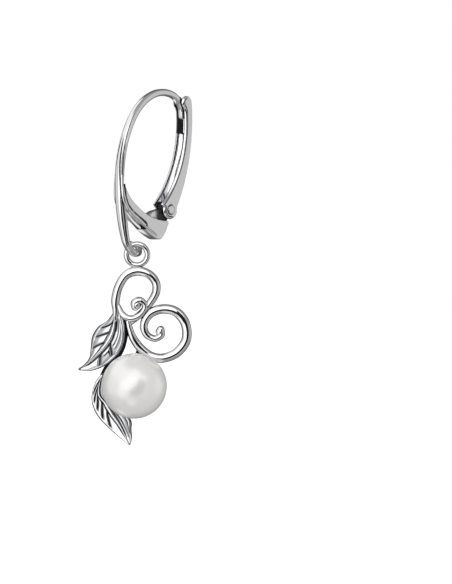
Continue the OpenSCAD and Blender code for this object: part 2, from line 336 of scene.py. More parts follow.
class Piece:
    """A mesh under construction, in millimetres, that becomes one object.

    ends rounds the ends of a wire: a share of the full section, and how far out it lies in
    half thicknesses.
    """

    ends = ((0.25, 0.97), (0.5, 0.87), (0.71, 0.7), (0.87, 0.5), (0.97, 0.25))

    def __init__(self, name: str) -> None:
        """Starts an empty mesh.

        Args:
            name: the object's name.
        """
        self.name = name
        self.bm = bmesh.new()
        # Layer for the painted oxide and painted shade of each vertex.
        self.tarnish_and_shade_layer = self.bm.verts.layers.float.new(TARNISH_AND_SHADE)

    def ring(self, centre: Vector, along: Vector, side: Vector, row: Row, segments: int,
             scale: float = 1.0, grooves: Sequence[Groove] = ()) -> Ring:
        """One closed section of a wire.

        Args:
            centre: the middle of the section.
            along: the wire's direction there.
            side: the direction that the width is measured in.
            row: width, thickness and squareness.
            segments: corners of the section.
            scale: share of the full section.
            grooves: narrow grooves cut into the section, painted dark with shade.

        Returns:
            The section's vertices, in order.
        """
        across = (side - along * side.dot(along)).normalized()
        up = along.cross(across)
        made = bmesh.ops.create_circle(self.bm, segments=segments, radius=1.0)["verts"]
        half_w, half_t, e = row[0] / 2 * scale, row[1] / 2 * scale, 2 / row[2]
        for v in made:
            a = math.atan2(v.co.y, v.co.x)
            cut = max((g.share(centre.z, math.degrees(a)) for g in grooves), default=0.0)
            keep = 1 - cut * GROOVE_DEPTH / min(half_w, half_t) if cut else 1.0
            # Painted shade in the groove.
            v[self.tarnish_and_shade_layer] = smoothstep(*GROOVE_DARK, cut)
            v.co = (centre + across * (half_w * power(math.cos(a), e) * keep)
                    + up * (half_t * power(math.sin(a), e) * keep))
        return made

    def own_edges(self, ring: Ring) -> list[bmesh.types.BMEdge]:
        """The edges between a section's own vertices."""
        inside = set(ring)
        return list({e for v in ring for e in v.link_edges if set(e.verts) <= inside})

    def skin(self, rings: Sequence[Ring]) -> None:
        """Bridges sections in order and closes both ends.

        Args:
            rings: the sections, each with as many vertices as the next.
        """
        for a, b in zip(rings, rings[1:]):
            bmesh.ops.bridge_loops(self.bm, edges=self.own_edges(a) + self.own_edges(b))
        for ring in (rings[0], rings[-1]):
            bmesh.ops.contextual_create(self.bm, geom=self.own_edges(ring))

    def wire(self, rows: Sequence[Row], side: Vector, segments: int = 20,
             grooves: Sequence[Groove] = ()) -> None:
        """A swept wire with rounded ends.

        Args:
            rows: x, y, z, width, thickness and squareness at each place.
            side: the direction that the width is measured in.
            segments: corners of the section.
            grooves: narrow grooves along the wire, painted dark with shade.
        """
        spots = [Vector(r[:3]) for r in rows]
        heads = [(spots[min(i + 1, len(spots) - 1)] - spots[max(i - 1, 0)]).normalized()
                 for i in range(len(spots))]
        r0, r1 = min(rows[0][3:5]) / 2, min(rows[-1][3:5]) / 2
        places = [(spots[0] - heads[0] * r0 * b, heads[0], rows[0][3:6], a) for a, b in self.ends]
        places += [(s, h, r[3:6], 1.0) for s, h, r in zip(spots, heads, rows)]
        places += [(spots[-1] + heads[-1] * r1 * b, heads[-1], rows[-1][3:6], a)
                   for a, b in reversed(self.ends)]
        self.skin([self.ring(c, h, side, r, segments, k, grooves) for c, h, r, k in places])

    def turn(self, profile: Sequence[Sequence[float]], axis: Point3, steps: int,
             centre: Sequence[float] = (0, 0, 0)) -> None:
        """Turns an open profile once round an axis.

        Args:
            profile: its corners, from one end of the axis to the other.
            axis: the direction of the axis.
            steps: how many places of the profile make the turn.
            centre: a point of the axis.
        """
        chain = [self.bm.verts.new(p) for p in profile]
        edges = [self.bm.edges.new(pair) for pair in zip(chain, chain[1:])]
        bmesh.ops.spin(self.bm, geom=chain + edges, cent=centre, axis=axis, angle=FULL_TURN,
                       steps=steps, use_merge=True)

    def inward(self, outline: Sequence[Point2]) -> list[Point2]:
        """The direction that leads into an outline at each of its corners.

        Args:
            outline: the corners, in order.

        Returns:
            A direction of length 1 for each corner.
        """
        area = sum(a[0] * b[1] - b[0] * a[1] for a, b in zip(outline, [*outline[1:], outline[0]]))
        turn = math.copysign(1.0, area)
        out = []
        for i in range(len(outline)):
            a, b = outline[i - 1], outline[(i + 1) % len(outline)]
            dy, dz = b[0] - a[0], b[1] - a[1]
            span = math.hypot(dy, dz)
            out.append((-dz / span * turn, dy / span * turn))
        return out

    def plate(self, outline: Sequence[Point2], x0: float, x1: float, round_mm: float,
              reach: Optional[Callable[[Point2], float]] = None, deep: float = 1.5,
              grid_mm: float = 0.3) -> None:
        """A flat outline in the plane of the hook, given thickness and rounded edges.

        Args:
            outline: front to back and height of each corner, in order.
            x0: one side of the plate.
            x1: the other side.
            round_mm: radius of the rounded edges.
            reach: how far the rounding at x1 comes in over the flat side, with a groove after it.
            deep: how much deeper that rounding gets for each step of its reach.
            grid_mm: spacing of the cuts that carry the painted tarnish and shade.
        """
        way = math.copysign(1.0, x1 - x0)
        inward = self.inward(outline)
        plain = [round_mm] * len(outline)
        wide = [reach(p) for p in outline] if reach else plain

        def layer(near: bool, up: float, back: float, step: float = 0.0, dark: float = 0.0) -> Ring:
            """One outline of the stack.

            Args:
                near: True for a layer of the side at x1.
                up: share of the rounding's depth.
                back: share of its width.
                step: share of the width of the groove after it.
                dark: share of the groove's depth and of the painted shade in it.

            Returns:
                Its vertices, in order.
            """
            x, out, widths = (x1, way, wide) if near else (x0, -way, plain)
            ring = bmesh.ops.create_circle(self.bm, segments=len(outline), radius=1.0)["verts"]
            for v, p, n, w in zip(ring, outline, inward, widths):
                groove = smoothstep(round_mm, LIP_FULL, w)
                inset = w * back + LIP_WIDTH * step * groove
                sunk = (round_mm + deep * (w - round_mm)) * up + LIP_DEPTH * dark * groove
                v.co = (x - out * sunk, p[0] + n[0] * inset, p[1] + n[1] * inset)
                # Painted shade in the lip's groove.
                v[self.tarnish_and_shade_layer] = dark * groove
            return ring

        shares = [(math.radians(18 * k), k / 5) for k in range(6)]
        stack = [layer(False, 1 - math.sin(t), 1 - math.cos(t)) for t, _ in reversed(shares)]
        stack += [layer(True, 1 - LIP_SLOPE * s - (1 - LIP_SLOPE) * math.sin(t),
                        LIP_SLOPE * s + (1 - LIP_SLOPE) * (1 - math.cos(t))) for t, s in shares]
        if reach:
            stack += [layer(True, 0, 1, *place) for place in ((0.4, 1), (0.6, 1), (1, 0))]
        self.skin(stack)
        ys, zs = [p[0] for p in outline], [p[1] for p in outline]
        self.grid((min(x0, x1), max(x0, x1)), (min(ys), max(ys)), (min(zs), max(zs)), grid_mm)

    def darken(self, rule: Callable[[Vector], float]) -> None:
        """Adds to the tarnish-and-shade value, oxide or painted shade as each rule gives, where a rule asks
        for it.
        """
        for v in self.bm.verts:
            v[self.tarnish_and_shade_layer] = max(v[self.tarnish_and_shade_layer], rule(v.co))

    def grid(self, xs: Point2, ys: Point2, zs: Point2, step: float) -> None:
        """Cuts the faces inside a box along Y and Z.

        Args:
            xs: the box from side to side.
            ys: the box from front to back.
            zs: the box from its foot to its top.
            step: spacing of the cuts.
        """
        slack = 1e-3
        (x0, x1), (y0, y1), (z0, z1) = [(lo - slack, hi + slack) for lo, hi in (xs, ys, zs)]
        for axis, (lo, hi) in ((1, ys), (2, zs)):
            count = max(1, int((hi - lo) / step))
            normal = [float(k == axis) for k in range(3)]
            for k in range(1, count):
                cut = [(lo + (hi - lo) * k / count) * n for n in normal]
                near = [f for f in self.bm.faces
                        if all(x0 <= v.co.x <= x1 and y0 <= v.co.y <= y1 and z0 <= v.co.z <= z1
                               for v in f.verts)]
                parts = {part for f in near for part in (*f.verts, *f.edges)}
                bmesh.ops.bisect_plane(self.bm, geom=[*parts, *near], plane_co=cut, plane_no=normal,
                                       dist=1e-5)

    def place(self, matrix: Matrix) -> None:
        """Moves the whole mesh."""
        bmesh.ops.transform(self.bm, matrix=matrix, verts=self.bm.verts)

    def finish(self, material: Material, body: Body, slot: Slot,
               stands_for: Sequence[str] = (), crisp: bool = False) -> Object:
        """Args:
            material: the finish.
            body: what it moves with.
            slot: the record's slot that the finish belongs to; not used.
            stands_for: CAD nodes that the piece replaces.
            crisp: True for a piece with flat faces, whose normals are weighted by area.

        Returns:
            The object.
        """
        bmesh.ops.remove_doubles(self.bm, verts=self.bm.verts, dist=1e-4)
        bmesh.ops.recalc_face_normals(self.bm, faces=self.bm.faces)
        self.place(Matrix.Scale(MM, 4))
        for f in self.bm.faces:
            f.smooth = True
        mesh = bpy.data.meshes.new(self.name)
        self.bm.to_mesh(mesh)
        self.bm.free()
        mesh.materials.append(material)
        made = bpy.data.objects.new(self.name, mesh)
        bpy.context.scene.collection.objects.link(made)
        if crisp:
            weigh = made.modifiers.new("even_faces", "WEIGHTED_NORMAL")
            weigh.weight = 50
        if stands_for:
            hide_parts(*stands_for)
        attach(made, body.value)
        log.info("%s: %d faces on %s", self.name, len(mesh.polygons), body.value)
        return made


@dataclass
class SubAssembly:
    """Pieces of one material that move with one body.

    Where build gives several objects, the first one stands for the CAD node.
    """

    material: Material
    body = Body.HOOK
    slot = Slot.POLISHED

    def done(self, piece: Piece, stands_for: Sequence[str] = (), crisp: bool = False) -> Object:
        """Finishes a piece."""
        return piece.finish(self.material, self.body, self.slot, stands_for, crisp)


# The hook


@dataclass
class HookCasting(SubAssembly):
    """Ear wire, stem, side ribs, wedge, hinge tongue and bottom loop, cast in one.

    A wire's rows give x, y, z, width, thickness and squareness. A groove's pairs give a
    height and an angle, and the outlines' pairs give front to back and height. The crease
    round the side ribs is painted dark with shade up to the first gap, bright from the
    second, and a little wider towards the back.
    """

    ear_wire: Sequence[Row] = (
        (0, 3.12, -2.1, 0.64, 0.66, 3), (0, 3.0, -1.25, 0.64, 0.66, 3),
        (0, 2.55, -0.52, 0.74, 0.68, 3), (0, 1.6, 0.15, 0.74, 0.7, 3),
        (0, 0.1, 0.41, 0.74, 0.76, 3), (0, -1.5, 0.18, 0.74, 0.76, 3),
        (0, -3.15, -0.62, 0.74, 0.78, 3), (0, -4.68, -2.05, 0.76, 0.8, 3),
        (0, -5.86, -3.98, 0.84, 0.82, 2.8), (0, -6.62, -6.05, 0.92, 0.84, 2.6),
        (0, -6.98, -8.3, 0.96, 0.86, 2.5), (0, -6.98, -10.6, 0.96, 0.86, 2.4),
        (0, -6.6, -12.9, 0.96, 1.0, 2.6), (0.02, -6.2, -14.8, 0.88, 0.88, 2.4),
        (0.15, -5.88, -15.9, 0.8, 0.8, 2), (0.25, -5.18, -16.58, 0.8, 0.8, 2),
        (0.12, -4.2, -16.63, 0.8, 0.8, 2), (-0.08, -3.8, -16.27, 0.68, 0.66, 2))
    loop: Sequence[Row] = (
        (0.02, -4.0, -16.52, 0.56, 0.56, 2), (-0.12, -3.78, -16.22, 0.6, 0.6, 2),
        (-0.35, -3.88, -15.9, 0.6, 0.58, 2), (-0.68, -4.3, -15.7, 0.54, 0.52, 2),
        (-0.91, -4.75, -15.52, 0.5, 0.5, 2), (-0.75, -5.33, -15.35, 0.5, 0.5, 2),
        (-0.25, -5.8, -15.1, 0.5, 0.5, 2))
    grooves: Sequence[Sequence[Point2]] = (
        ((-3.6, 78), (-5.0, 73), (-7.3, 60), (-9.2, 36), (-11.9, 8), (-13.2, 8), (-14.5, 20), (-15.9, 28)),
        ((-0.6, 36), (-3.0, 28), (-6.0, 14), (-7.5, 8), (-9.0, 0), (-10.2, -8)))
    rib: Sequence[Row] = (
        (0.42, -7.12, -8.5, 0.2, 0.22, 2), (0.46, -7.1, -9.5, 0.32, 0.34, 2),
        (0.54, -6.93, -10.8, 0.42, 0.44, 2), (0.56, -6.5, -11.75, 0.46, 0.48, 2),
        (0.56, -5.75, -12.45, 0.48, 0.5, 2), (0.55, -4.9, -12.95, 0.5, 0.54, 2),
        (0.54, -4.15, -13.4, 0.48, 0.52, 2), (0.54, -3.6, -13.72, 0.42, 0.48, 2))
    rim: Sequence[Row] = (
        (0, -6.5, -11.4, 1.0, 0.6, 2), (0, -5.32, -12.45, 1.26, 0.62, 2),
        (0, -4.1, -13.45, 1.4, 0.62, 2), (0, -2.9, -14.18, 1.42, 0.6, 2),
        (0, -1.75, -14.74, 1.4, 0.44, 2))
    wedge_top: Sequence[Point2] = (
        (-6.8, -9.4), (-6.35, -10.15), (-5.75, -10.9), (-4.8, -11.65), (-3.6, -12.38),
        (-2.4, -12.83), (-1.1, -13.13), (0.2, -13.25))
    wedge_low: Sequence[Point2] = (
        (0.33, -13.45), (-0.22, -14.45), (-0.9, -15.13), (-1.6, -15.16), (-2.6, -14.74),
        (-3.45, -14.25), (-4.3, -13.62), (-5.1, -12.95), (-6.0, -12.1), (-6.8, -11.0))
    tongue: Sequence[Point2] = (
        (0.5, -12.9), (-0.2, -13.7), (-2.6, -13.6), (-3.3, -12.7), (-2.6, -12.5),
        (-1.75, -12.16), (-1.0, -12.02), (0.3, -11.8))
    groove_widths: Point2 = (14.0, 10.0)
    web_width: float = 1.2
    tongue_width: float = 0.82
    knuckle_r: float = 0.9
    crease: Point2 = (0.34, 0.46)
    wider: float = 0.05
    loop_tarnish: float = 0.22
    # How dark the painted shade on the tongue inside the lever is.
    tongue_shade: float = 0.9

    def shade_beside_rib(self, p: Vector) -> float:
        """Painted shade on the web in the crease round the side ribs and past their tips.

        Args:
            p: a place of the web.

        Returns:
            The painted shade, from 0 to 1.
        """
        if abs(p.x) < self.web_width / 2 - 0.1:
            return 0.0
        spots = [Vector((r[1], r[2])) for r in self.rib[1:]]
        here = Vector((p.y, p.z))
        gap = math.inf
        for a, b in zip(spots, spots[1:]):
            t = min(1.0, max(0.0, (here - a).dot(b - a) / (b - a).length_squared))
            gap = min(gap, (here - a.lerp(b, t)).length)
        more = self.wider * smoothstep(-4.6, -3.9, p.y)
        return 1 - smoothstep(self.crease[0] + more, self.crease[1] + more, gap)

    def on_loop(self, p: Vector) -> float:
        """Light tarnish of the wire's foot and the bottom loop."""
        return self.loop_tarnish * smoothstep(15.3, 15.7, -p.z)

    def shade_in_lever(self, p: Vector) -> float:
        """Painted shade on the tongue where the lever's cheeks stand beside it."""
        return self.tongue_shade * between(p.y, -1.9, -1.3, 0.3, 0.8)

    def build(self) -> list[Object]:
        """Builds the casting.

        Returns:
            The objects, the first of which stands for the CAD node.
        """
        side = Vector((1, 0, 0))
        wire = Piece("ear_wire_and_loop")
        grooves = [Groove(path, wide) for line, wide in zip(self.grooves, self.groove_widths)
                   for path in (line, [(z, 180 - a) for z, a in line])]
        wire.wire(smooth_rows(self.ear_wire, 12), side, 72, grooves)
        wire.wire(smooth_rows(self.loop, 10), side, 24)
        wire.darken(self.on_loop)
        made = [self.done(wire, ["ear_hook"])]
        ribs = Piece("stem_side_ribs")
        for k in (-1, 1):
            ribs.wire(smooth_rows([(k * r[0], *r[1:]) for r in self.rib], 10), side, 20)
        made.append(self.done(ribs))
        wedge = Piece("wedge_web")
        outline = [*smooth_rows(self.wedge_top, 5), *smooth_rows(self.wedge_low, 5)]
        wedge.plate(outline, -self.web_width / 2, self.web_width / 2, 0.07, grid_mm=0.1)
        # Painted shade in the crease round the side ribs.
        wedge.darken(self.shade_beside_rib)
        made.append(self.done(wedge, crisp=True))
        rim = Piece("wedge_lower_rim")
        rim.wire(smooth_rows(self.rim, 10), side, 24)
        made.append(self.done(rim))
        tongue = Piece("hinge_tongue")
        half = self.tongue_width / 2
        for shape in (self.tongue, arc(HINGE, self.knuckle_r, 0, 5.625, 64)):
            tongue.plate(shape, -half, half, 0.08)
        # Painted shade on the tongue between the lever's cheeks.
        tongue.darken(self.shade_in_lever)
        made.append(self.done(tongue, crisp=True))
        return made


@dataclass
class HingeRivet(SubAssembly):
    """The rivet through the lever's eyes, with a nearly flat, round-edged head on each side.

    inner and outer say where a head starts and ends along the axis.
    """

    shank_r: float = 0.3
    head_r: float = 0.47
    inner: float = 0.77
    outer: float = 0.89
    lip: float = 0.02
    bevel: float = 0.03
    edge: float = 0.05
    edge_in: float = 0.09
    face_r: float = 0.2
    raised: float = 0.005

    def build(self) -> list[Object]:
        """Turns the rivet round its axis.

        Returns:
            The rivet.
        """
        rivet = Piece("hinge_rivet_turned")
        centre = Vector((0, *HINGE))
        head = [(self.inner, self.shank_r), (self.inner, self.head_r - self.lip),
                (self.inner + self.bevel, self.head_r)]
        head += [(self.outer - self.edge + self.edge * math.sin(a),
                  self.head_r - self.edge_in * (1 - math.cos(a)) - self.lip)
                 for a in (math.radians(12 * k) for k in range(8))]
        head += [(self.outer, self.face_r), (self.outer + self.raised, NEAR_AXIS)]
        half = [(-x, r) for x, r in reversed(head)]
        rivet.turn([centre + Vector((x, 0, r)) for x, r in (*half, *head)], (1, 0, 0), 48, centre)
        return [self.done(rivet, ["hinge_rivet"])]


# The lever


@dataclass
class ClaspLever(SubAssembly):
    """Channel-shaped lever: two cheeks with round eyes, joined by a web along the back.

    The back and the front edges are arcs round back_c and front_c. The web runs from the
    fork to the foot and is thickest along the lower half of the channel.
    """

    body = Body.LEVER
    eye_r: float = 1.0
    half_width: float = 0.74
    cheek_t: float = 0.27
    web_t: float = 0.34
    web_more: float = 0.4
    back_c: Point2 = (-15.23, -2.3)
    back_r: float = 19.2
    front_c: Point2 = (-9.25, -2.6)
    front_r: float = 12.2
    top_c: Point2 = (3.16, -0.6)
    top_r: float = 0.7
    fork: float = -3.8
    foot: float = -11.72
    edge_r: float = 0.03
    lip: float = 0.14
    near_deep: float = 1.25
    far_deep: float = 0.6
    # Radius of the painted shade ring round the rivet's head.
    ring_r: float = 0.51
    toe: Sequence[Point2] = ((-0.85, -11.5), (-0.6, -11.78))

    def back(self, z: float, inset: float = 0.0) -> Point2:
        """A point of the back curve at a height."""
        r = self.back_r - inset
        return self.back_c[0] + math.sqrt(r * r - (z - self.back_c[1]) ** 2), z

    def front(self, z: float) -> Point2:
        """A point of the front curve at a height."""
        return self.front_c[0] + math.sqrt(self.front_r ** 2 - (z - self.front_c[1]) ** 2), z

    def reach(self, p: Point2) -> float:
        """How far the rounding comes in over a cheek's outer side.

        Args:
            p: a corner of the cheek's outline.

        Returns:
            The width there, in mm.
        """
        back, front = self.back(p[1])[0], self.front(p[1])[0]
        across = smoothstep(0.35, 0.75, (back - p[0]) / (back - front))
        return self.edge_r + self.lip * (across if p[1] >= -11.3 else 1 - smoothstep(0.5, 1.3, p[0]))

    def rivet_and_lip_shade(self, p: Vector) -> float:
        """Painted shade on the near cheek, in a ring round the rivet's head and on the lip of its front
        edge.

        Args:
            p: a place of the cheek.

        Returns:
            The painted shade, from 0 to 1.
        """
        away = abs(math.hypot(p.y - HINGE[0], p.z - HINGE[1]) - self.ring_r)
        ring = 1 - smoothstep(0.03, 0.08, away) if p.x > self.half_width - 0.01 else 0.0
        lip = p.z > -11.2 and p.x < self.half_width - 0.18 and p.y < self.front(p.z)[0] + 0.02
        return max(ring, 0.9 if lip else 0.0)

    def shade_in_channel(self, p: Vector) -> float:
        """Painted shade on the far cheek's inner side: the fork, and a stripe along its front edge."""
        stripe = 0.95 * between(p.y - self.front(p.z)[0], 0.03, 0.07, 0.3, 0.45)
        return max(smoothstep(self.fork - 0.2, self.fork, p.z), stripe) if p.x >= -0.5 else 0.0

    def web_depth(self, z: float) -> float:
        """Thickness of the web at a height."""
        return self.web_t + self.web_more * between(-z, 4.8, 8.5, 10.0, 11.4)

    def cheek(self) -> list[Point2]:
        """The side outline of a cheek, from its top round the front, the eye and the back.

        Returns:
            The corners, in order.
        """
        top = arc(self.top_c, self.top_r, 6, 12, 20)
        front = [self.front(-1.5 - 9.75 * k / 40) for k in range(40)]
        eye = arc(HINGE, self.eye_r, 168, 7, 29)
        back = [self.back(-11.7 + 11.0 * k / 40) for k in range(41)]
        return [*top, *front, *self.toe, *eye, *back]

    def build(self) -> list[Object]:
        """Builds the lever.

        Returns:
            The objects, the first of which stands for the CAD node.
        """
        near, far = Piece("lever_near_cheek"), Piece("lever_far_cheek")
        for k, cheek, deep in ((1, near, self.near_deep), (-1, far, self.far_deep)):
            cheek.plate(self.cheek(), k * (self.half_width - self.cheek_t), k * self.half_width,
                        self.edge_r, self.reach, deep, 0.15)
        near.grid((self.half_width, self.half_width), (-0.2, 1.1), (-12.7, -11.4), 0.07)
        # Painted shade round the rivet's head and on the front lip.
        near.darken(self.rivet_and_lip_shade)
        # Painted shade inside the lever's channel.
        far.darken(self.shade_in_channel)
        made = [self.done(near, ["clasp_lever"], crisp=True), self.done(far, crisp=True)]
        web = Piece("lever_web")
        steps = 40
        zs = [self.fork + (self.foot - self.fork) * k / steps for k in range(steps + 1)]
        outline = [self.back(z, 0.02) for z in zs] + [self.back(z, self.web_depth(z)) for z in reversed(zs)]
        web.plate(outline, -self.half_width + 0.1, self.half_width - 0.1, 0.04)
        made.append(self.done(web, crisp=True))
        return made


# The drop


@dataclass
class Leaf(SubAssembly):
    """A cast leaf with lobes between dark grooves and a bright midrib.

    Along the leaf q runs from 0 at the stem to 1 at the tip. Across it s runs from -1 at
    the left edge over 0 on the midrib to 1 at the right edge, and a is its size.

    Attributes:
        rows: right and up of the left edge, the midrib and the right edge, from stem to tip.
        front: how far the leaf stands in front of the drop's plane.
        left: where the grooves of the left half leave the midrib, as values of q.
        right: the same for the right half.
        slope: how far a groove runs on, in q, from the midrib to the edge.
        width: half width of a groove, in q.
        veil: painted shade on a lobe's higher side.
        outer: tarnish outside the lobes, left and right.
        crown: how far the left and the right edge lie in front of the midrib.
        lobes: height of a lobe, in mm like the other heights and depths.
        tilt: how far the tip lies in front of the stem's end.
        strips: dark strips on the right half: q and a of both ends, and half width in a.
        hatch: how many fine dark lines a whole right half would have, 0 for none.
        along: places from stem to tip.
        across: places from edge to edge.
    """

    body = Body.DROP
    slot = Slot.OXIDISED
    name: str
    rows: Sequence[Row]
    front: float
    left: Sequence[float]
    right: Sequence[float]
    slope: float = 0.17
    width: float = 0.016
    veil: float = 0.5
    outer: Point2 = (0.6, 0.5)
    crown: Point2 = (-0.45, 0.15)
    lobes: float = 0.12
    tilt: float = 0.0
    strips: Sequence[Row] = ()
    hatch: float = 0.0
    thickness: float = 0.5
    along: int = 190
    across: int = 72
    rib_high: float = 0.17
    rim_high: float = 0.03
    flank_deep: float = 0.06
    groove_deep: float = 0.1
    back_tarnish: float = 0.22

    def spot(self, fine: list[list[float]], q: float, s: float) -> Vector:
        """A point of the leaf's plane.

        Args:
            fine: the smoothed rows.
            q: the place along the leaf.
            s: the place across it.

        Returns:
            The point, with y left at 0.
        """
        i = min(len(fine) - 1, max(0.0, q * (len(fine) - 1)))
        k = min(len(fine) - 2, int(i))
        r = [a + (b - a) * (i - k) for a, b in zip(fine[k], fine[k + 1])]
        mid = Vector((r[2], 0, r[3]))
        edge = Vector((r[0], 0, r[1])) if s < 0 else Vector((r[4], 0, r[5]))
        return mid + (edge - mid) * abs(s)

    def marks(self, q: float, a: float) -> float:
        """Tarnish of the strips and the hatch of the right half.

        Args:
            q: the place along the leaf.
            a: the place across the right half.

        Returns:
            The tarnish, from 0 to 1.
        """
        dark = 0.0
        for q0, a0, q1, a1, wide in self.strips:
            run = between(q, q0, q0 + 0.04, q1 - 0.04, q1)
            dark = max(dark, run * bell(a, a0 + (a1 - a0) * (q - q0) / (q1 - q0), wide))
        if self.hatch:
            band = between(q, 0.54, 0.6, 0.85, 0.9) * (1 - smoothstep(0.4, 0.5, a))
            wave = 0.5 + 0.5 * math.sin(FULL_TURN * self.hatch * (q - 0.1 * a))
            dark = max(dark, 0.6 * band * wave)
        return dark

    def relief(self, q: float, s: float) -> Point2:
        """Height of the front and how dark it is painted.

        Args:
            q: the place along the leaf.
            s: the place across it.

        Returns:
            The height over the leaf's plane in mm, and its darkness from 0 to 1: oxide in the grooves,
            painted shade on each lobe's higher side.
        """
        a = abs(s)
        half = 0 if s < 0 else 1
        gaps = [q - self.slope * a - g for g in (self.left if s < 0 else self.right)]
        below = min((g for g in gaps if g >= 0), default=0.12)
        above = min((-g for g in gaps if g < 0), default=0.5)
        groove = bell(min(below, above), 0, self.width * (0.5 + 0.7 * math.sin(math.pi * a)))
        share = below / (below + above)
        rise = share * (1 - smoothstep(0.8, 1.0, share))
        inside = between(q, 0.02, 0.1, 0.7, 1.0) * between(a, 0.15, 0.24, 0.76, 0.82)
        rib = math.sqrt(max(0.0, 1 - (a / 0.13) ** 2))
        flank = bell(a, 0.19, 0.045 if s < 0 else 0.07) * between(q, 0.04, 0.1, 0.8, 0.9)
        rim = bell(a, 0.84, 0.04)
        high = (0.1 + self.crown[half] * a * a + self.tilt * q + self.rib_high * rib
                + self.rim_high * rim - self.flank_deep * flank
                + inside * (self.lobes * rise - self.groove_deep * groove))
        # Painted shade on each lobe's higher side, oxide in its grooves and flanks.
        dark = max(inside * max(self.veil * smoothstep(0.55, 0.85, share), groove), flank,
                   self.outer[half] * smoothstep(0.3, 0.8, a) * (1 - rim),
                   0.9 * smoothstep(0.89, 0.93, a), self.marks(q, a) if s > 0 else 0.0)
        return high, dark

    def build(self, matrix: Matrix) -> Object:
        """Shapes a grid into the leaf's front, and its back from a second one.

        Args:
            matrix: the place of the drop.

        Returns:
            The leaf.
        """
        piece = Piece(self.name)
        fine = smooth_rows(self.rows, 8)
        for front in (True, False):
            grid = bmesh.ops.create_grid(
                piece.bm, x_segments=self.across, y_segments=self.along, size=1.0)
            for v in grid["verts"]:
                s, q = v.co.x, (v.co.y + 1) / 2
                p = self.spot(fine, q, s)
                if front:
                    high, v[piece.tarnish_and_shade_layer] = self.relief(q, s)
                else:
                    thick = self.thickness * (0.35 + 0.65 * math.sin(math.pi * max(q, 0.0) ** 0.7))
                    high, v[piece.tarnish_and_shade_layer] = 0.06 - 0.25 * s * s - thick, self.back_tarnish
                p.y = -(self.front + high)
                v.co = p
        rims = [e for e in piece.bm.edges if e.is_boundary]
        bmesh.ops.bridge_loops(piece.bm, edges=rims)
        piece.place(matrix)
        return self.done(piece)


